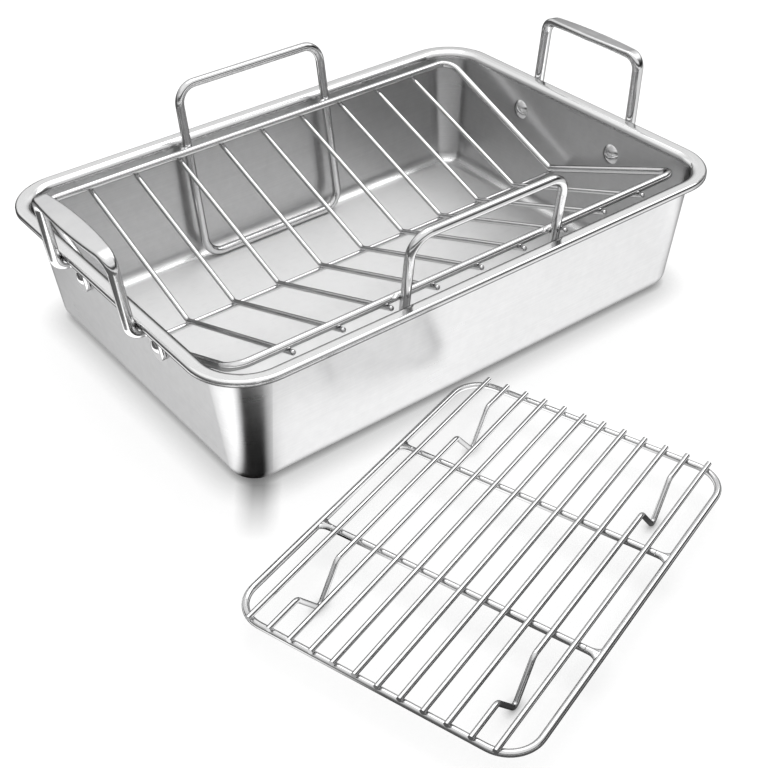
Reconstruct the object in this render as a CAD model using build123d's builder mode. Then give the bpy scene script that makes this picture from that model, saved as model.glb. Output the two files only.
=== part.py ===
"""Roasting pan with a V-shaped roasting rack standing in it and a flat wire rack beside it.

Frame: millimetres, +Z up, origin at the centre of the pan's underside.
+X runs along the pan to its right handle, +Y runs across it to its rear wall.
"""

import os
from math import asin, atan2, cos, hypot, radians, sin, sqrt, tan

from build123d import *

# Pan: drawn sheet, measured over the rim
pan_length = 400.0
pan_width = 287.0
pan_height = 91.5
sheet = 0.8
rim_corner_radius = 38.0
rim_inset = 10.6  # from the rim's edge in to the line of the wall
wall_draft = 6.4  # degrees from upright
floor_bend = 10.4  # mid-sheet radii of the three bends
rim_bend = 5.4
lip_bend = 1.7
lip_drop = 3.6

# Pan handles: rod, flattened at the grip and at the tabs
rod = 7.5
handle_spacing = 95.6  # between the centres of one handle's legs, at the lower run
leg_gap = 0.7  # between the rim's edge and a leg
leg_lean = 5.4  # degrees from upright
leg_toe = 2.0  # degrees, each leg towards the other
handle_rise = 44.0  # from the pan's rim up to the centre of the grip
leg_drop = 8.9  # from the pan's rim down to the centre of the lower run
top_bend = 9.5
low_bend = 7.0
grip_width = 14.2  # in the middle of the grip
grip_end_width = 10.4  # where the grip meets its bends
grip_flank_width = 13.2  # halfway between
grip_thickness = 4.2
grip_end_thickness = 5.0
grip_corner = 1.7
grip_lift = 0.7  # of the grip's middle over the line of the rod
grip_tilt = 7.0  # degrees, outer edge down
rod_straight = 0.8  # of round rod past each low bend
rod_corner_share = 0.96  # of half the rod, the corners where a change of section starts
tab_width = 15.0
tab_thickness = 3.0
tab_corner = 1.2
tab_bend = 2.4
tab_past_rivet = 9.8  # along the wall from the middle of the rivet to the tip of the tab
tab_shoulder = 3.2

# Rivets
rivet_height = 68.0  # of the rivets on the wall, over the surface the pan stands on
shank = 6.0
inner_head = 14.5
inner_head_rise = 2.8
outer_head = 9.0
outer_head_rise = 1.8
hole_clearance = 0.1

# Roasting rack: a ring of wire with dropped ends, V wires, a spine and two loops
rack_x = -3.1  # of the middle of the rack in the pan
rack_y = -0.7
ring_wire = 5.4
ring_end_margin = 23.5  # from the rim's edge in to the middle of the ring's wire, with the rack centred
ring_side_margin = 25.0
ring_corner = 12.0
trough_depth = 47.4  # from the rails down to where the legs of the V wires meet
trough_bend = 5.0
v_wire = 3.4
v_wire_count = 9
v_wire_end_margin = 37.02  # from the middle of the ring's end in to the middle of the last V wire
v_wire_overhang = 2.2  # past the side of the rail
v_wire_round = 1.1  # of the wires' ends
loop_wire = 6.3
loop_length = 119.7
loop_height = 128.7
loop_corner = 13.5
loop_lean = 8.1  # degrees, tops outwards
rail_rise = 83.9  # of the rails over the loops' lower bars

# Flat rack: a ring of wire, two cross wires and bars on top, two of them bent into feet
flat_x = -107.3
flat_y = -255.0
flat_turn = 18.0  # degrees
flat_wire = 4.0
flat_length = 238.0  # over the ring, along the bars
flat_width = 175.0
flat_corner = 19.0
cross_place_share = 1 / 3  # of half the length, from the middle to each cross wire
cross_sink = 0.15  # of a cross wire's end into the ring
bar_wire = 3.1
bar_count = 12
bar_rise = 21.4  # of the bars' centres over the floor
foot_spacing = 154.5
foot_slope = 51.0  # degrees, of the feet's legs
foot_tip_bend = 3.0
foot_top_bend = 5.0
footed_bars = (2, 11)  # counted from the ring's left side

# Fits
seat_gap = 0.3  # between a rack's lowest wire and what it stands over
weld_sink = 0.15  # of one wire into the next where they are welded

# Places worked out from the sizes above
draft = radians(wall_draft)
half_sheet = sheet / 2
rim_z = pan_height - half_sheet
run_x = pan_length / 2 - rim_corner_radius
run_y = pan_width / 2 - rim_corner_radius


def wall_inset(z):
    """Distance from the rim's edge in to the middle of the wall at height z."""
    return rim_inset + (rim_z - z) * tan(draft)


floor_inset = wall_inset(half_sheet) + floor_bend * tan((radians(90) - draft) / 2)
floor_corner = rim_corner_radius - floor_inset

os.makedirs("parts", exist_ok=True)


def save(built, label):
    """Name a finished piece and write it under that name."""
    built.part.label = label
    export_step(built.part, f"parts/{label}.step")


# Pan body


def draw_pan_section():
    """Sheet from the flat of the floor up the wall and out to the rim's lip."""
    wall_foot = rim_corner_radius - wall_inset(half_sheet)
    wall_top = rim_corner_radius - rim_inset
    edge = rim_corner_radius - half_sheet
    with BuildSketch() as section:
        with BuildLine():
            middle = FilletPolyline(
                (floor_corner / 2, half_sheet),
                (wall_foot, half_sheet),
                (wall_top, rim_z),
                (edge, rim_z),
                (edge, pan_height - lip_drop),
                radius=(floor_bend, rim_bend, lip_bend),
                mode=Mode.PRIVATE,
            )
            offset(middle, amount=half_sheet, side=Side.BOTH, kind=Kind.INTERSECTION)
        make_face()
    return section.sketch


def rivet_plane(side_x, side_y):
    """Plane on the middle of an end wall at a rivet, its Z axis pointing out of the pan."""
    x = pan_length / 2 - wall_inset(rivet_height)
    origin = (side_x * x, side_y * handle_spacing / 2, rivet_height)
    return Plane(origin=origin, x_dir=(0, 1, 0), z_dir=(side_x * cos(draft), 0, -sin(draft)))


rivet_sides = {
    "right_front": (1, -1),
    "right_rear": (1, 1),
    "left_front": (-1, -1),
    "left_rear": (-1, 1),
}

pan_section = draw_pan_section()

with BuildPart() as pan_body:
    with BuildSketch():
        RectangleRounded(2 * (run_x + floor_corner), 2 * (run_y + floor_corner), floor_corner)
    extrude(amount=sheet)
    for side in (1, -1):
        end_wall = Plane(origin=(side * run_x, -run_y, 0), x_dir=(side, 0, 0), z_dir=(0, -side, 0))
        with BuildSketch(end_wall):
            add(pan_section)
        extrude(amount=-side * 2 * run_y)
        long_wall = Plane(origin=(-run_x, side * run_y, 0), x_dir=(0, side, 0), z_dir=(side, 0, 0))
        with BuildSketch(long_wall):
            add(pan_section)
        extrude(amount=side * 2 * run_x)
        for end in (1, -1):
            corner = (end * run_x, side * run_y, 0)
            with BuildSketch(Plane(origin=corner, x_dir=(end, 0, 0), z_dir=(0, -end, 0))):
                add(pan_section)
            revolve(axis=Axis(corner, (0, 0, 1)), revolution_arc=end * side * 90)
    for side_x, side_y in rivet_sides.values():
        with BuildSketch(rivet_plane(side_x, side_y)):
            Circle(shank / 2 + hole_clearance / 2)
        extrude(amount=rim_inset, both=True, mode=Mode.SUBTRACT)
save(pan_body, "pan_body")


# Handles: one is drawn at the right end, the other is its mirror image
lean = radians(leg_lean)
tilt = radians(grip_tilt)
leg_x = pan_length / 2 + leg_gap + rod / 2
leg_y = handle_spacing / 2
grip_x = leg_x + handle_rise * tan(lean)
grip_z = pan_height + handle_rise
low_x = leg_x - leg_drop * tan(lean)
low_z = pan_height - leg_drop
low_tangent = low_bend * tan((radians(90) - lean) / 2)
round_end_x = low_x - low_tangent - rod_straight
flat_end_x = round_end_x - tab_shoulder
toe = radians(leg_toe)
top_y = leg_y - (grip_z - low_z) * tan(toe)
top_tangent = top_bend * tan((radians(90) - toe) / 2)
grip_end_y = top_y - top_tangent
bend_foot_z = grip_z - top_tangent * cos(toe) * cos(lean)
bend_foot = (
    grip_x - (grip_z - bend_foot_z) * tan(lean),
    top_y + (grip_z - bend_foot_z) * tan(toe),
    bend_foot_z,
)
tab_stand = half_sheet + tab_thickness / 2
tab_x = pan_length / 2 - wall_inset(low_z) + tab_stand / cos(draft)
tab_drop = low_z - rivet_height + tab_past_rivet * cos(draft)
tab_tip = (tab_x - tab_drop * tan(draft), leg_y, low_z - tab_drop)


def grip_plane(y, lift=0):
    """Plane across the grip at y, its X axis across the grip's flat."""
    origin = (grip_x, y, grip_z + lift)
    return Plane(origin=origin, x_dir=(cos(tilt), 0, -sin(tilt)), z_dir=(0, -1, 0))


def tab_plane(x):
    """Plane across the lower run at x, its X axis along the wall."""
    return Plane(origin=(x, leg_y, low_z), x_dir=(0, 1, 0), z_dir=(-1, 0, 0))


# Share of the way from the middle of the grip to its end, width, thickness and lift
grip_sections = (
    (0, grip_width, grip_thickness, grip_lift),
    (1 / 2, grip_flank_width, grip_thickness, grip_lift),
    (1, grip_end_width, grip_end_thickness, 0),
)

with BuildPart() as right_handle:
    with BuildLine() as leg:
        FilletPolyline(
            (round_end_x, leg_y, low_z), (low_x, leg_y, low_z), bend_foot, radius=low_bend
        )
    with BuildSketch(Plane(origin=leg.line @ 0, z_dir=leg.line % 0)):
        Circle(rod / 2)
    sweep(path=leg.line)
    with BuildLine() as bend:
        TangentArc(bend_foot, (grip_x, grip_end_y, grip_z), tangent=leg.line % 1)
    with BuildSketch(Plane(origin=bend_foot, x_dir=(cos(lean), 0, -sin(lean)), z_dir=leg.line % 1)):
        RectangleRounded(rod, rod, rod_corner_share * rod / 2)
    with BuildSketch(grip_plane(grip_end_y)):
        RectangleRounded(grip_end_width, grip_end_thickness, grip_corner)
    sweep(path=bend.line, multisection=True)
    with BuildSketch(tab_plane(round_end_x)):
        RectangleRounded(rod, rod, rod_corner_share * rod / 2)
    with BuildSketch(tab_plane(flat_end_x)):
        RectangleRounded(tab_width, tab_thickness, tab_corner)
    loft(ruled=True)
    with BuildLine() as tab:
        FilletPolyline((flat_end_x, leg_y, low_z), (tab_x, leg_y, low_z), tab_tip, radius=tab_bend)
    with BuildSketch(tab_plane(flat_end_x)):
        RectangleRounded(tab_width, tab_thickness, tab_corner)
    sweep(path=tab.line)
    tip_plane = Plane(origin=tab_tip, x_dir=(0, 1, 0), z_dir=(cos(draft), 0, -sin(draft)))
    with BuildSketch(tip_plane):
        with Locations((0, tab_width / 4)):
            Rectangle(tab_width, tab_width / 2)
        with Locations((0, tab_width / 2)):
            Circle(tab_width / 2, mode=Mode.SUBTRACT)
    extrude(amount=tab_thickness, both=True, mode=Mode.SUBTRACT)
    with BuildSketch(rivet_plane(1, 1)):
        Circle(shank / 2 + hole_clearance / 2)
    extrude(amount=rim_inset, both=True, mode=Mode.SUBTRACT)
    mirror(about=Plane.XZ)
    for side in (1, -1):
        for place_share, width, thickness, lift in grip_sections:
            with BuildSketch(grip_plane(side * place_share * grip_end_y, lift)):
                RectangleRounded(width, thickness, grip_corner)
        loft()
save(right_handle, "right_handle")

with BuildPart() as left_handle:
    mirror(right_handle.part, about=Plane.YZ)
save(left_handle, "left_handle")

# Rivets, each with a domed head in the pan, a shank and a head on the tab
for place, (side_x, side_y) in rivet_sides.items():
    wall = rivet_plane(side_x, side_y)
    across = wall.x_dir.cross(wall.z_dir)
    tab_face = half_sheet + tab_thickness
    inner_top = (0, -half_sheet - inner_head_rise)
    outer_top = (0, tab_face + outer_head_rise)
    with BuildPart() as rivet:
        with BuildSketch(Plane(origin=wall.origin, x_dir=wall.x_dir, z_dir=across)):
            with BuildLine():
                inner = TangentArc(inner_top, (inner_head / 2, -half_sheet), tangent=(1, 0))
                outer = TangentArc(outer_top, (outer_head / 2, tab_face), tangent=(1, 0))
                Polyline(inner @ 1, (shank / 2, -half_sheet), (shank / 2, tab_face), outer @ 1)
                Line(inner @ 0, outer @ 0)
            make_face()
        revolve(axis=Axis(wall.origin, wall.z_dir))
    save(rivet, f"{place}_rivet")


def bend_wire(path, wire):
    """Round wire along a path."""
    with BuildPart() as built:
        with BuildSketch(Plane(origin=path @ 0, z_dir=path % 0)):
            Circle(wire / 2)
        sweep(path=path)
    return built


# Roasting rack
ring_length = pan_length - 2 * ring_end_margin
ring_width = pan_width - 2 * ring_side_margin
v_wire_pitch = (ring_length - 2 * v_wire_end_margin) / (v_wire_count - 1)
loop_z = sheet + seat_gap + loop_wire / 2
rail_z = loop_z + rail_rise
rail_y = ring_width / 2
trough_z = rail_z - trough_depth
v_stand = (ring_wire + v_wire) / 2 - weld_sink
v_reach = hypot(rail_y, trough_depth)
v_slope = atan2(trough_depth, rail_y) - asin(v_stand / v_reach)
v_leg = sqrt(v_reach**2 - v_stand**2) + ring_wire / 2 + v_wire_overhang
v_bottom_z = trough_z + trough_bend * (1 / cos(v_slope) - 1)
spine_z = v_bottom_z - v_wire + weld_sink
ring_dip_z = spine_z + v_stand - trough_bend * (1 / cos(v_slope) - 1)
rack_plane = Plane((rack_x, rack_y, 0))

with BuildLine(rack_plane) as ring_route:
    end_x = ring_length / 2
    FilletPolyline(
        (end_x, -rail_y, rail_z),
        (end_x, 0, ring_dip_z),
        (end_x, rail_y, rail_z),
        (-end_x, rail_y, rail_z),
        (-end_x, 0, ring_dip_z),
        (-end_x, -rail_y, rail_z),
        radius=2 * (ring_corner, trough_bend, ring_corner),
        close=True,
    )
save(bend_wire(ring_route.line, ring_wire), "roasting_rack_ring")

with BuildLine(rack_plane) as spine_route:
    spine_end = (ring_length + ring_wire) / 2
    Line((-spine_end, 0, spine_z), (spine_end, 0, spine_z))
save(bend_wire(spine_route.line, v_wire), "roasting_rack_spine")

for count in range(v_wire_count):
    x = (count - (v_wire_count - 1) / 2) * v_wire_pitch
    end_y = v_leg * cos(v_slope)
    end_z = trough_z + v_leg * sin(v_slope)
    with BuildLine(rack_plane) as v_route:
        FilletPolyline((x, -end_y, end_z), (x, 0, trough_z), (x, end_y, end_z), radius=trough_bend)
    built = bend_wire(v_route.line, v_wire)
    with built:
        fillet(built.faces().filter_by(GeomType.PLANE).edges(), radius=v_wire_round)
    save(built, f"roasting_rack_v_wire_{count + 1}")

loop_lean_angle = radians(loop_lean)
loop_stand = (ring_wire + loop_wire) / 2 - weld_sink
loop_y = rail_y + loop_stand / cos(loop_lean_angle) - rail_rise * tan(loop_lean_angle)
for side, place in ((-1, "front"), (1, "rear")):
    loop_plane = Plane(
        origin=(rack_x, rack_y + side * loop_y, loop_z),
        x_dir=(1, 0, 0),
        z_dir=(0, -cos(loop_lean_angle), side * sin(loop_lean_angle)),
    )
    with BuildLine(loop_plane) as loop_route:
        half = loop_length / 2
        FilletPolyline(
            (half, 0),
            (half, loop_height),
            (-half, loop_height),
            (-half, 0),
            radius=loop_corner,
            close=True,
        )
    save(bend_wire(loop_route.line, loop_wire), f"roasting_rack_{place}_loop")

# Flat rack
flat_plane = Plane((flat_x, flat_y, 0)).rotated((0, 0, flat_turn))
bar_end = flat_length / 2
side_u = (flat_length - flat_wire) / 2
side_v = (flat_width - flat_wire) / 2
flat_ring_z = bar_rise - (bar_wire + flat_wire) / 2 + weld_sink
bar_pitch = 2 * side_v / (bar_count + 1)

with BuildLine(flat_plane) as flat_route:
    FilletPolyline(
        (side_u, -side_v, flat_ring_z),
        (side_u, side_v, flat_ring_z),
        (-side_u, side_v, flat_ring_z),
        (-side_u, -side_v, flat_ring_z),
        radius=flat_corner,
        close=True,
    )
save(bend_wire(flat_route.line, flat_wire), "flat_rack_ring")

cross_end = side_v - flat_wire / 2 + cross_sink
for side, place in ((-1, "near"), (1, "far")):
    u = side * cross_place_share * bar_end
    with BuildLine(flat_plane) as cross_route:
        Line((u, -cross_end, flat_ring_z), (u, cross_end, flat_ring_z))
    save(bend_wire(cross_route.line, flat_wire), f"flat_rack_{place}_cross_wire")

foot_angle = radians(foot_slope)
foot_drop = bar_rise - bar_wire / 2 + foot_tip_bend * (1 / cos(foot_angle) - 1)
foot_half = foot_drop / tan(foot_angle)
foot_u = foot_spacing / 2
for count in range(1, bar_count + 1):
    v = side_v - count * bar_pitch
    with BuildLine(flat_plane) as bar_route:
        if count in footed_bars:
            FilletPolyline(
                (-bar_end, v, bar_rise),
                (-foot_u - foot_half, v, bar_rise),
                (-foot_u, v, bar_rise - foot_drop),
                (-foot_u + foot_half, v, bar_rise),
                (foot_u - foot_half, v, bar_rise),
                (foot_u, v, bar_rise - foot_drop),
                (foot_u + foot_half, v, bar_rise),
                (bar_end, v, bar_rise),
                radius=2 * (foot_top_bend, foot_tip_bend, foot_top_bend),
            )
        else:
            Line((-bar_end, v, bar_rise), (bar_end, v, bar_rise))
    save(bend_wire(bar_route.line, bar_wire), f"flat_rack_bar_{count}")
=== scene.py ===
"""Looks of the roasting pan, its roasting rack and the flat rack beside it, in metres, +Z up."""

from math import cos, pi, radians, sin

import bmesh
import bpy
from mathutils import Matrix, Vector


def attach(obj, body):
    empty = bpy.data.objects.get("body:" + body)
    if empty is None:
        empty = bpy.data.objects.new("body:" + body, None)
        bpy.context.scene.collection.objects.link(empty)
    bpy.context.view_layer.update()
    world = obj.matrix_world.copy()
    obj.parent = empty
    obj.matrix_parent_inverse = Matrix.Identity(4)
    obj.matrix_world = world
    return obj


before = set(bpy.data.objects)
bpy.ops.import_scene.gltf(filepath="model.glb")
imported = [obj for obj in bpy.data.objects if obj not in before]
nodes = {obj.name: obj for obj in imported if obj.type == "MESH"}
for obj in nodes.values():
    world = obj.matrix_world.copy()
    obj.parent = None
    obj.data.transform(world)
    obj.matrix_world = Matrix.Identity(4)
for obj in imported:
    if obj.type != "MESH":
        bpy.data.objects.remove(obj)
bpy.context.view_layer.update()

scene = bpy.context.scene

# Camera: the photograph's place and angle

camera_target = Vector((-0.053468, -0.062948, 0.0))
camera_distance = 0.875514
camera_azimuth = radians(-35.56)
camera_elevation = radians(36.606)
camera_roll = radians(-2.004)
camera_sensor, camera_lens = 36.0, 62.1855  # in millimetres
camera_shift = (0.03213, -0.0254)
camera_clip = (0.01, 50.0)


def add_camera():
    back = Vector(
        (
            sin(camera_azimuth) * cos(camera_elevation),
            -cos(camera_azimuth) * cos(camera_elevation),
            sin(camera_elevation),
        )
    )
    level = Vector((0, 0, 1)).cross(back).normalized()
    rise = back.cross(level)
    right = level * cos(camera_roll) + rise * sin(camera_roll)
    up = rise * cos(camera_roll) - level * sin(camera_roll)
    data = bpy.data.cameras.new("camera")
    data.sensor_width = camera_sensor
    data.lens = camera_lens
    data.shift_x, data.shift_y = camera_shift
    data.clip_start, data.clip_end = camera_clip
    camera = bpy.data.objects.new("camera", data)
    turn = Matrix((right, up, back)).transposed().to_4x4()
    camera.matrix_world = Matrix.Translation(camera_target + camera_distance * back) @ turn
    scene.collection.objects.link(camera)
    scene.camera = camera


# Nodes


def add_node(tree, kind, inputs=None, **settings):
    """A shader node with its settings, its inputs given as values or as other nodes' outputs."""
    node = tree.nodes.new(kind)
    for name, value in settings.items():
        setattr(node, name, value)
    for name, value in (inputs or {}).items():
        if isinstance(value, bpy.types.NodeSocket):
            tree.links.new(value, node.inputs[name])
        else:
            node.inputs[name].default_value = value
    return node


def split(tree, vector):
    return add_node(tree, "ShaderNodeSeparateXYZ", {"Vector": vector}).outputs


def arithmetic(tree, operation, first, second=0.0):
    return add_node(tree, "ShaderNodeMath", {0: first, 1: second}, operation=operation).outputs[0]


def vector_math(tree, operation, first, second):
    inputs = {0: first, 1: second}
    return add_node(tree, "ShaderNodeVectorMath", inputs, operation=operation).outputs


def total(tree, first, second):
    return arithmetic(tree, "ADD", first, second)


def difference(tree, first, second):
    return arithmetic(tree, "SUBTRACT", first, second)


def product(tree, first, second):
    return arithmetic(tree, "MULTIPLY", first, second)


def rest_of(tree, share):
    """What a share leaves of 1."""
    return difference(tree, 1.0, share)


noise_span = (0.3, 0.7)  # where most of a noise's values lie


def remap(tree, value, low, high, start=noise_span[0], end=noise_span[1]):
    """Low up to start, high from end on, and even between them."""
    node = add_node(
        tree,
        "ShaderNodeMapRange",
        {"Value": value, "From Min": start, "From Max": end, "To Min": low, "To Max": high},
    )
    return node.outputs["Result"]


def rising(tree, value, start, end):
    return remap(tree, value, 0.0, 1.0, start, end)


def falling(tree, value, start, end):
    return remap(tree, value, 1.0, 0.0, start, end)


# The Mix node's sockets go by number, because each of its types has an A, a B and a Result


def blend_values(tree, share, first, second):
    """The first at a share of 0, the second at 1."""
    inputs = {0: share, 2: first, 3: second}
    return add_node(tree, "ShaderNodeMix", inputs, data_type="FLOAT").outputs[0]


def blend_colours(tree, share, first, second):
    """The first at a share of 0, the second at 1."""
    inputs = {0: share, 6: first, 7: second}
    return add_node(tree, "ShaderNodeMix", inputs, data_type="RGBA").outputs[2]


def blend_shaders(tree, share, first, second):
    """The first at a share of 0, the second at 1."""
    return add_node(tree, "ShaderNodeMixShader", {0: share, 1: first, 2: second}).outputs["Shader"]


def stretched_noise(tree, scale, detail=3.0, fineness=0.6):
    """Noise in the object's own coordinates, with a number of cells a metre for each axis."""
    coordinates = add_node(tree, "ShaderNodeTexCoord").outputs["Object"]
    mapping = add_node(tree, "ShaderNodeMapping", {"Vector": coordinates, "Scale": scale})
    noise = add_node(
        tree,
        "ShaderNodeTexNoise",
        {
            "Vector": mapping.outputs["Vector"],
            "Scale": 1.0,
            "Detail": detail,
            "Roughness": fineness,
        },
    )
    return noise.outputs["Fac"]


def even_noise(tree, cells, detail):
    return stretched_noise(tree, (cells, cells, cells), detail)


def grey_colour(shade, blue=0.0):
    """A grey, with a little blue added."""
    return (shade, shade, shade + blue, 1)


# Metals

edge_tint = 0.22  # of the reflection at a grazing angle
grain_turn = 0.25  # of a full turn, because light spreads across the brushing


def new_metal(name, shade, roughness, anisotropy=0.0):
    """Material whose plain grey and roughness give way to the nodes linked in their place later."""
    material = bpy.data.materials.new(name)
    material.use_nodes = True
    tree = material.node_tree
    shader = tree.nodes["Principled BSDF"]
    shader.inputs["Base Color"].default_value = grey_colour(shade)
    shader.inputs["Metallic"].default_value = 1.0
    shader.inputs["Roughness"].default_value = roughness
    shader.inputs["Anisotropic"].default_value = anisotropy
    shader.inputs["Anisotropic Rotation"].default_value = grain_turn
    shader.inputs["Specular Tint"].default_value = grey_colour(edge_tint)
    return material, tree, shader


def add_bump(tree, shader, height, distance, strength):
    inputs = {"Height": height, "Distance": distance, "Strength": strength}
    bump = add_node(tree, "ShaderNodeBump", inputs)
    tree.links.new(bump.outputs["Normal"], shader.inputs["Normal"])


# The pan. Upward shares are the Z of the surface's normal, and heights are above the floor.
pan_plain = (0.7, 0.3)  # grey and roughness
pan_anisotropy = 0.65
floor_slope = (0.6, 0.9)  # upward share where the wall's brushing goes over into the floor's

wall_grain_cells = (5, 5, 1700)  # a metre
floor_grain_cells = (5, 1500, 5)
grain_detail, grain_fineness = 2.0, 0.4
smudge_cells, smudge_detail = 14, 4.0
spot_cells, spot_detail = 160, 2.0
grain_bump = (0.0000008, 0.3)  # distance and strength

grain_roughness = (0.285, 0.32)
smudge_roughness = (-0.02, 0.03)
floor_satin = 0.32  # how much rougher the flat of the floor is than the walls
rim_heights = (0.086, 0.0895)  # where the brushed wall goes over into the polished rim
rim_roughness = 0.14
bend_start = (0.6, 0.78)  # upward share where the polish and the painted highlight of the floor's bend start
bend_end = (0.95, 0.995)  # and where they end
bend_polish = 0.55  # share of the roughness that it takes away

wall_grey = grey_colour(0.66, 0.003)
lightest_grey = grey_colour(0.9)
painted_shade_grey = grey_colour(0.05)
grain_lightness = (0.0, 0.15)  # as shares of the way from the walls' grey to the lightest one
spot_lightness = (-0.05, 0.1)
# Painted light: share of the way to the lightest grey by which the level floor is lighter than the
# walls
floor_painted_light = 0.9
outward_reach = (0.0, 0.01)  # level part of normal times place, from the inside to the outside
lip_foot = (0.0884, 0.0889)  # where the painted shade under the rim's lip fades upwards
wall_top = (0.0862, 0.0868)  # and where the painted shade of the gap behind it starts
# Painted shade under the rim's lip: how dark it is
lip_painted_shade = 0.7
inner_painted_shade = 0.1  # painted shade on the inside of the walls

upright = (0, 0, 1)
lengthwise = (0.12, 0, 0)  # added to the tangent, which is nothing where the sheet lies level


def brushed_pan():
    """Sheet brushed level round its walls and lengthwise over its floor, polished at its rim."""
    material, tree, shader = new_metal("pan_brushed_steel", *pan_plain, pan_anisotropy)
    geometry = add_node(tree, "ShaderNodeNewGeometry").outputs
    normal, place = geometry["Normal"], geometry["Position"]
    upward, height = split(tree, normal)["Z"], split(tree, place)["Z"]
    level = rising(tree, arithmetic(tree, "ABSOLUTE", upward), *floor_slope)
    at_rim = rising(tree, height, *rim_heights)
    bend = product(tree, rising(tree, upward, *bend_start), falling(tree, upward, *bend_end))

    wall_grain = stretched_noise(tree, wall_grain_cells, grain_detail, grain_fineness)
    floor_grain = stretched_noise(tree, floor_grain_cells, grain_detail, grain_fineness)
    grain = blend_values(tree, level, wall_grain, floor_grain)
    smudge = even_noise(tree, smudge_cells, smudge_detail)
    spots = even_noise(tree, spot_cells, spot_detail)
    add_bump(tree, shader, grain, *grain_bump)

    uneven = remap(tree, smudge, *smudge_roughness)
    brushed = total(tree, remap(tree, grain, *grain_roughness), uneven)
    satin = total(tree, brushed, product(tree, level, floor_satin))
    smooth = product(tree, satin, rest_of(tree, product(tree, bend, bend_polish)))
    tree.links.new(blend_values(tree, at_rim, smooth, rim_roughness), shader.inputs["Roughness"])

    fleck = total(tree, remap(tree, grain, *grain_lightness), remap(tree, spots, *spot_lightness))
    # Grain and spots are the sheet's own tone; the level floor's added lightness is painted light
    cover = total(tree, fleck, product(tree, level, floor_painted_light))
    # Painted highlight: the floor's bend is lightened right up to the lightest grey, besides its
    # polish
    clean = blend_colours(tree, total(tree, cover, bend), wall_grey, lightest_grey)
    facing = vector_math(tree, "DOT_PRODUCT", normal, place)["Value"]
    outward = difference(tree, facing, product(tree, upward, height))
    outside = rising(tree, outward, *outward_reach)
    # Painted shade in the gap under the rim's lip, on the outside only
    gap = product(tree, falling(tree, height, *lip_foot), rising(tree, height, *wall_top))
    painted_shade_under_lip = product(tree, product(tree, gap, outside), lip_painted_shade)
    # Painted shade on the inside of the walls, between the rim and the floor
    on_wall = rest_of(tree, arithmetic(tree, "MAXIMUM", at_rim, level))
    within = product(tree, product(tree, on_wall, rest_of(tree, outside)), inner_painted_shade)
    # The stronger of the two painted shades darkens the colour towards the painted shade grey
    dark = arithmetic(tree, "MAXIMUM", painted_shade_under_lip, within)
    tree.links.new(blend_colours(tree, dark, clean, painted_shade_grey), shader.inputs["Base Color"])

    around = vector_math(tree, "CROSS_PRODUCT", normal, upright)["Vector"]
    tangent = vector_math(tree, "ADD", around, lengthwise)["Vector"]
    tree.links.new(tangent, shader.inputs["Tangent"])
    return material


handle_plain = (0.8, 0.24)  # grey and roughness
handle_roughness = (0.15, 0.33)  # on its legs, and on the grip's flat top
grip_slope = (0.5, 0.85)  # upward share where the one goes over into the other
rub_line_cells = (900, 25, 900)
rub_patch_cells, rub_patch_detail = 45, 4.0
rub_line_roughness = (-0.04, 0.05)
rub_patch_roughness = (-0.03, 0.04)
rub_line_bump = (0.00001, 0.5)
handle_greys = (grey_colour(0.76, 0.005), grey_colour(0.84))


def satin_handle():
    """Rod polished by a belt, with fine lines along it and soft rubbed patches."""
    material, tree, shader = new_metal("handle_satin_steel", *handle_plain)
    upward = split(tree, add_node(tree, "ShaderNodeNewGeometry").outputs["Normal"])["Z"]
    lines = stretched_noise(tree, rub_line_cells)
    patches = even_noise(tree, rub_patch_cells, rub_patch_detail)
    plain = remap(tree, upward, *handle_roughness, *grip_slope)
    line_rough = remap(tree, lines, *rub_line_roughness)
    patch_rough = remap(tree, patches, *rub_patch_roughness)
    rough = total(tree, plain, total(tree, line_rough, patch_rough))
    tree.links.new(rough, shader.inputs["Roughness"])
    colour = blend_colours(tree, remap(tree, patches, 0.0, 1.0), *handle_greys)
    tree.links.new(colour, shader.inputs["Base Color"])
    add_bump(tree, shader, lines, *rub_line_bump)
    return material


wire_wave_cells, wire_wave_detail = 260, 3.0
wire_patch_cells, wire_patch_detail = 40, 4.0
wire_wave_roughness = (-0.03, 0.04)
wire_patch_roughness = (-0.02, 0.04)
wire_patch_dark, wire_patch_blue = 0.07, 0.005
wire_wave_bump = (0.00003, 0.5)


def polished_wire(name, light, roughness):
    """Bright drawn wire, with a little unevenness of its plating."""
    material, tree, shader = new_metal(name, light, roughness)
    waves = even_noise(tree, wire_wave_cells, wire_wave_detail)
    patches = even_noise(tree, wire_patch_cells, wire_patch_detail)
    smoothest, roughest = wire_wave_roughness
    wave_rough = remap(tree, waves, roughness + smoothest, roughness + roughest)
    rough = total(tree, wave_rough, remap(tree, patches, *wire_patch_roughness))
    tree.links.new(rough, shader.inputs["Roughness"])
    dark = grey_colour(light - wire_patch_dark, wire_patch_blue)
    colour = blend_colours(tree, remap(tree, patches, 0.0, 1.0), dark, grey_colour(light))
    tree.links.new(colour, shader.inputs["Base Color"])
    add_bump(tree, shader, waves, *wire_wave_bump)
    return material


pan_steel = brushed_pan()
handle_steel = satin_handle()
rivet_steel = polished_wire("rivet_polished_steel", light=0.82, roughness=0.15)
rack_wire = polished_wire("roasting_rack_bright_wire", light=0.82, roughness=0.12)
flat_wire = polished_wire("flat_rack_bright_wire", light=0.76, roughness=0.12)


def finish_of(name):
    if name == "pan_body":
        return pan_steel
    if name.endswith("handle"):
        return handle_steel
    if name.endswith("rivet"):
        return rivet_steel
    return rack_wire if name.startswith("roasting") else flat_wire


for name, piece in nodes.items():
    piece.material_slots[0].material = finish_of(name)


# Welds: beads beside the roasting rack's loops, and fillets at the flat rack's cross wires

quarters = ((-1, -1), (1, -1), (-1, 1), (1, 1))  # end and side of each of the four


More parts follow.
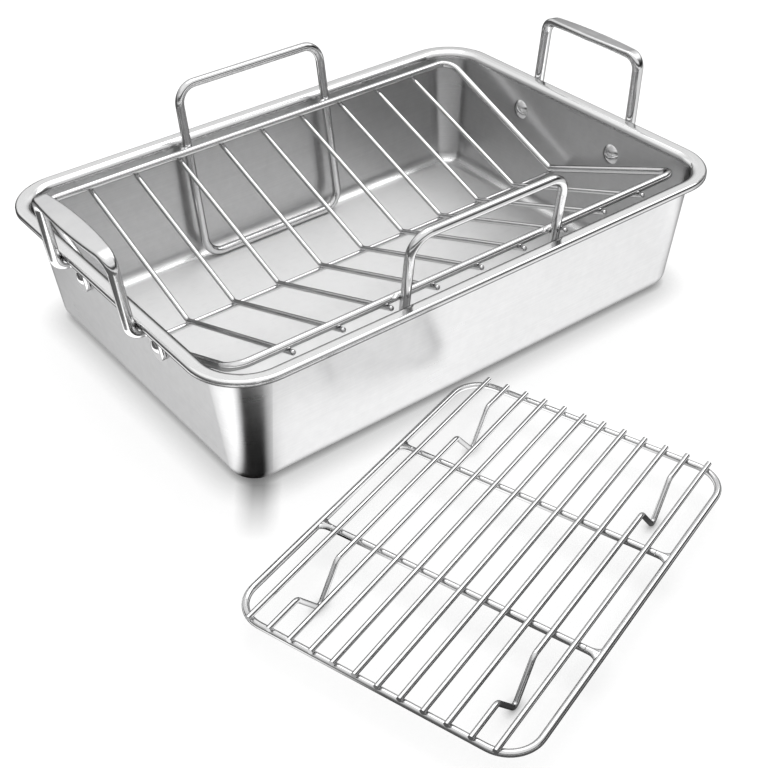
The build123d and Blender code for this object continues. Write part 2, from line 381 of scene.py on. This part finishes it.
def add_piece(name, mesh, body, material):
    piece = bpy.data.objects.new(name, mesh)
    scene.collection.objects.link(piece)
    mesh.materials.append(material)
    for face in mesh.polygons:
        face.use_smooth = True
    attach(piece, body)


bead_size = Vector((0.0029, 0.0021, 0.0019))
bead_subdivisions = 4
bead_waves = 0.09  # of its size
wave_rates = (3.1, 2.7, 5.3)  # along X, Y and Z
upright_wave = 0.6  # strength of the wave along Z
bead_turn = 1.3  # of the waves, from one bead to the next

ring_place = {"x": -0.0031, "y": -0.0007, "rail_y": 0.1185, "z": 0.08815}
leg_x = 0.05985
bead_side = 0.0046  # from the middle of the leg to that of the bead, along the rail
bead_out = 0.0021  # from the middle of the rail out
bead_up = 0.0013


def weld_bead(centre, phase):
    """Uneven drop of metal."""
    rate_x, rate_y, rate_z = wave_rates
    mesh = bpy.data.meshes.new("weld_bead")
    shape = bmesh.new()
    bmesh.ops.create_icosphere(shape, subdivisions=bead_subdivisions, radius=1.0)
    for vertex in shape.verts:
        way = vertex.co.copy()
        level_wave = sin(rate_x * way.x + phase) * cos(rate_y * way.y - phase)
        wave = level_wave + upright_wave * sin(rate_z * way.z + 2 * phase)
        vertex.co = centre + (1 + bead_waves * wave) * way * bead_size
    shape.to_mesh(mesh)
    shape.free()
    return mesh


for count, (end, side) in enumerate(quarters):
    bead_centre = Vector(
        (
            ring_place["x"] + end * leg_x - bead_side,
            ring_place["y"] + side * (ring_place["rail_y"] + bead_out),
            ring_place["z"] + bead_up,
        )
    )
    bead = weld_bead(bead_centre, bead_turn * count)
    add_piece(f"loop_weld_{count + 1}", bead, "roasting_rack", rack_wire)

flat_centre = Vector((-0.1073, -0.255, 0.018))
flat_turn = radians(18)
cross_u = 0.039667  # of the cross wires, from the rack's middle
ring_v = 0.0855  # of the ring's long sides
flare_start, flare_end = 0.0085, 0.0008  # back from the middle of the ring's wire
flare_width = (0.00202, 0.0058)  # half of it, at the cross wire and at the ring
flare_height = (0.00202, 0.0015)
width_power, height_power = 3, 2  # how late the width and the height change on the way out
flare_steps = 12
flare_sides = 32


def weld_flare(u, side):
    """Web of weld metal that widens from a cross wire to the ring."""
    rows = []
    for step in range(flare_steps + 1):
        share = step / flare_steps
        back = flare_start + (flare_end - flare_start) * share
        half_width = flare_width[0] + (flare_width[1] - flare_width[0]) * share**width_power
        half_height = flare_height[0] + (flare_height[1] - flare_height[0]) * share**height_power
        row = []
        for count in range(flare_sides):
            angle = 2 * pi * count / flare_sides
            across, rise = half_width * cos(angle), half_height * sin(angle)
            place = Vector((u + across, side * (ring_v - back), rise))
            row.append(flat_centre + Matrix.Rotation(flat_turn, 3, "Z") @ place)
        rows.append(row)
    points = [point for row in rows for point in row]
    faces = []
    for step in range(flare_steps):
        for count in range(flare_sides):
            following = (count + 1) % flare_sides
            low, high = step * flare_sides, (step + 1) * flare_sides
            faces.append((low + count, low + following, high + following, high + count))
    faces.append(tuple(range(flare_sides)))
    faces.append(tuple(range(flare_steps * flare_sides, (flare_steps + 1) * flare_sides)))
    mesh = bpy.data.meshes.new("weld_flare")
    mesh.from_pydata(points, [], faces)
    shape = bmesh.new()
    shape.from_mesh(mesh)
    bmesh.ops.recalc_face_normals(shape, faces=shape.faces)
    shape.to_mesh(mesh)
    shape.free()
    return mesh


for count, (end, side) in enumerate(quarters):
    flare = weld_flare(end * cross_u, side)
    add_piece(f"cross_wire_weld_{count + 1}", flare, "flat_rack", flat_wire)


# Painted reflections: the floor glows to glossy rays only, so metal sees in it white cards beside
# the pan, dark off two corners, and grey beyond

foot_x, foot_y = 0.167, 0.115  # where the painted dark reflection off a corner starts
foot_wall_x, foot_wall_y = 0.183, 0.126  # where the walls stand, from which the cards are measured

corner_fade = (0.004, 0.3)  # at the foot, and its growth with the distance from it
end_side = (1.3, 0.0265)  # the dark's side towards an end wall: slope and offset
long_side = (0.33, 0.003)  # and towards a long wall
corner_reach = (0.085, 0.12)
dark_corners = (0.0, 0.0001)  # X times Y, which is over 0 at the near left and far right corners

long_card = 1.5  # brightness of the cards along the pan's long walls
card_reach, card_fade = 0.11, 0.06  # how far they lie out, and the width of their edge
end_card = (1.65, 1.95)  # brightness of those at its ends, near the wall and farther out
end_card_rise = (0.015, 0.06)  # distance at which the one goes over into the other
end_reach, end_fade = 0.1, 0.03
card_seam = (-0.01, 0.01)  # where the cards meet off a corner

front_floor = 0.85  # brightness of the floor beyond them before the pan
rear_floor = 0.12  # behind it
rack_floor = 0.13  # and under the flat rack
rack_floor_end = (0.0, 0.07)  # along X
rear_start = (-0.1, 0.2)  # along Y


def position_parts(tree):
    return split(tree, add_node(tree, "ShaderNodeNewGeometry").outputs["Position"])


def beyond(tree, axis, foot):
    """Distance out from the pan's foot along an axis, on the floor."""
    return difference(tree, arithmetic(tree, "ABSOLUTE", position_parts(tree)[axis]), foot)


def painted_dark_corners(tree):
    """Painted dark reflection: 1 on the dark floor off the pan's near left and far right corners, 0
    elsewhere.
    """
    out_x, out_y = beyond(tree, "X", foot_x), beyond(tree, "Y", foot_y)
    end_line = total(tree, product(tree, out_y, end_side[0]), end_side[1])
    long_line = total(tree, product(tree, out_y, long_side[0]), long_side[1])
    off_end = difference(tree, end_line, out_x)
    off_long = total(tree, out_x, long_line)
    inside = arithmetic(tree, "MINIMUM", off_end, off_long)
    far = arithmetic(tree, "MAXIMUM", out_x, out_y)
    grown = product(tree, arithmetic(tree, "MAXIMUM", far, 0.0), corner_fade[1])
    softness = total(tree, grown, corner_fade[0])
    wedge = rising(tree, arithmetic(tree, "DIVIDE", inside, softness), -1.0, 1.0)
    parts = position_parts(tree)
    at_corner = rising(tree, product(tree, parts["X"], parts["Y"]), *dark_corners)
    near = product(tree, falling(tree, far, *corner_reach), at_corner)
    return product(tree, wedge, near)


def painted_reflection_shade(tree):
    """Painted reflections: how bright the floor glows to glossy rays."""
    out_x, out_y = beyond(tree, "X", foot_wall_x), beyond(tree, "Y", foot_wall_y)
    at_end = rising(tree, difference(tree, out_x, out_y), *card_seam)
    white = blend_values(tree, at_end, long_card, remap(tree, out_x, *end_card, *end_card_rise))
    near_long = falling(tree, out_y, card_reach, card_reach + card_fade)
    near_end = falling(tree, out_x, end_reach, end_reach + end_fade)
    near = arithmetic(tree, "MINIMUM", near_long, near_end)
    parts = position_parts(tree)
    before = remap(tree, parts["X"], rack_floor, front_floor, *rack_floor_end)
    grey = blend_values(tree, rising(tree, parts["Y"], *rear_start), before, rear_floor)
    clear = rest_of(tree, painted_dark_corners(tree))
    return product(tree, blend_values(tree, near, grey, white), clear)


# What the camera sees of the floor: white, and darker at the object's foot by painted shadow, with
# a painted reflection before the near corner

floor_size = 6.0
floor_gap = 0.0003  # from the floor up to the object
bounce_grey = grey_colour(0.85)  # of the floor, to rays that light other things
shadow_reach, shadow_depth = 0.022, 0.65  # of the soft painted shadow at the object's foot
contact_reach, contact_depth = 0.005, 0.55  # and of the fine painted shadow line under it
shadow_samples = 8
floor_glow = 0.68  # share of the floor's look that no lamp changes
glow_strength = 1.16

smear_foot = (-0.1735, -0.1245)  # below the near corner
smear_way = (-0.5815, -0.8134)
smear_depth = 0.62
smear_start = (-0.014, -0.004)  # along its way
smear_end = (-0.004, 0.045)
smear_width = (0.003, 0.014)  # from the middle to where it starts to fade and where it has gone
smear_rounding = 0.2  # of the fade's start


def painted_corner_smear(tree):
    """Painted reflection: the dark corner's blurred reflection in the floor before it."""
    parts = position_parts(tree)
    from_x = difference(tree, parts["X"], smear_foot[0])
    from_y = difference(tree, parts["Y"], smear_foot[1])
    way_x, way_y = smear_way
    along = total(tree, product(tree, from_x, way_x), product(tree, from_y, way_y))
    across = difference(tree, product(tree, from_x, way_y), product(tree, from_y, way_x))
    side = falling(tree, arithmetic(tree, "ABSOLUTE", across), *smear_width)
    inputs = {0: side, 1: 1.0, 2: smear_rounding}
    soft = add_node(tree, "ShaderNodeMath", inputs, operation="SMOOTH_MIN").outputs[0]
    fading = remap(tree, along, smear_depth, 0.0, *smear_end)
    started = rising(tree, along, *smear_start)
    return product(tree, product(tree, soft, fading), started)


def painted_foot_shadow(tree, reach, depth):
    """Painted shadow: 1 in the open, less within reach of the object."""
    inputs = {"Distance": reach}
    openness = add_node(tree, "ShaderNodeAmbientOcclusion", inputs, samples=shadow_samples)
    return remap(tree, openness.outputs["AO"], 1.0 - depth, 1.0, 0.0, 1.0)


def seen_shade(tree):
    """How light the floor looks."""
    soft = painted_foot_shadow(tree, shadow_reach, shadow_depth)
    fine = painted_foot_shadow(tree, contact_reach, contact_depth)
    return product(tree, product(tree, soft, fine), rest_of(tree, painted_corner_smear(tree)))


def add_floor():
    half = floor_size / 2
    corners = [(-half, -half, 0), (half, -half, 0), (half, half, 0), (-half, half, 0)]
    mesh = bpy.data.meshes.new("floor")
    mesh.from_pydata(corners, [], [(0, 1, 2, 3)])
    floor = bpy.data.objects.new("floor", mesh)
    floor.location.z = -floor_gap
    scene.collection.objects.link(floor)
    material = bpy.data.materials.new("floor_white")
    material.use_nodes = True
    tree = material.node_tree
    tree.nodes.remove(tree.nodes["Principled BSDF"])
    rays = add_node(tree, "ShaderNodeLightPath").outputs
    shade = seen_shade(tree)
    glow = add_node(tree, "ShaderNodeEmission", {"Strength": product(tree, shade, glow_strength)})
    grey = add_node(tree, "ShaderNodeCombineXYZ", {"X": shade, "Y": shade, "Z": shade})
    lit = add_node(tree, "ShaderNodeBsdfDiffuse", {"Color": grey.outputs["Vector"]})
    seen = blend_shaders(tree, floor_glow, lit.outputs["BSDF"], glow.outputs["Emission"])
    plain = add_node(tree, "ShaderNodeBsdfDiffuse", {"Color": bounce_grey})
    cards = add_node(tree, "ShaderNodeEmission", {"Strength": painted_reflection_shade(tree)})
    glossy = rays["Is Glossy Ray"]
    unseen = blend_shaders(tree, glossy, plain.outputs["BSDF"], cards.outputs["Emission"])
    mixed = blend_shaders(tree, rays["Is Camera Ray"], unseen, seen)
    tree.links.new(mixed, tree.nodes["Material Output"].inputs["Surface"])
    mesh.materials.append(material)


# Lamps, and what metal sees around it: greys by height, for the front and for the rear

lamps = {  # power in watts
    "overhead": {"place": (0.35, 0.2, 1.5), "size": (1.0, 1.0), "power": 5},
    "key": {"place": (1.3, -0.2, 1.3), "size": (0.8, 0.8), "power": 3},
}

front_stops = (  # sine of the height above level, and grey
    (0.0, 0.95),
    (0.09, 0.88),
    (0.15, 0.06),
    (0.34, 0.05),
    (0.44, 0.58),
    (0.5, 0.95),
    (0.66, 0.8),
    (0.8, 1.0),
)
rear_stops = (
    (0.0, 0.1),
    (0.1, 0.13),
    (0.2, 0.6),
    (0.38, 0.9),
    (0.5, 1.0),
    (0.6, 0.87),
    (0.66, 0.78),
    (0.8, 1.0),
)
rear_turn = (-0.3, 0.3)  # along Y, where the front goes over into the rear
front_side = (1.0, 0.25, 0.47, 0.58)  # fading towards the right: shades, and places along X
rear_side = (0.55, 1.0, -0.55, -0.3)  # and the rear's, towards the left
side_top = (0.55, 0.75)  # height at which that fading ends


def add_lamp(name, place, size, power):
    """Lamp that shines at the pan's middle."""
    data = bpy.data.lights.new(name, "AREA")
    data.shape = "RECTANGLE"
    data.size, data.size_y = size
    data.energy = power
    lamp = bpy.data.objects.new(name, data)
    turn = Vector(place).to_track_quat("Z", "Y").to_matrix().to_4x4()
    lamp.matrix_world = Matrix.Translation(place) @ turn
    scene.collection.objects.link(lamp)


def height_ramp(tree, height, stops):
    ramp = add_node(tree, "ShaderNodeValToRGB", {"Fac": height})
    elements = ramp.color_ramp.elements
    while len(elements) < len(stops):
        elements.new(0.5)
    for element, (place, grey) in zip(elements, stops):
        element.position = place
        element.color = grey_colour(grey)
    return ramp.outputs["Color"]


def add_world():
    """Grey ramps for metal and for light, and plain white for the camera."""
    world = bpy.data.worlds.new("surround")
    world.use_nodes = True
    scene.world = world
    tree = world.node_tree
    rays = add_node(tree, "ShaderNodeLightPath").outputs
    way = split(tree, add_node(tree, "ShaderNodeTexCoord").outputs["Generated"])
    behind = rising(tree, way["Y"], *rear_turn)
    front = height_ramp(tree, way["Z"], front_stops)
    rear = height_ramp(tree, way["Z"], rear_stops)
    front_fading = remap(tree, way["X"], *front_side)
    rear_fading = remap(tree, way["X"], *rear_side)
    side = blend_values(tree, behind, front_fading, rear_fading)
    low = falling(tree, way["Z"], *side_top)
    inputs = {
        "Color": blend_colours(tree, behind, front, rear),
        "Strength": blend_values(tree, low, 1.0, side),
    }
    around = add_node(tree, "ShaderNodeBackground", inputs)
    white = add_node(tree, "ShaderNodeBackground", {"Color": grey_colour(1.0), "Strength": 1.0})
    mixed = blend_shaders(tree, rays["Is Camera Ray"], around.outputs[0], white.outputs[0])
    tree.links.new(mixed, tree.nodes["World Output"].inputs["Surface"])


add_camera()
add_floor()
for name, lamp in lamps.items():
    add_lamp(name, **lamp)
add_world()

scene.view_settings.view_transform = "Standard"
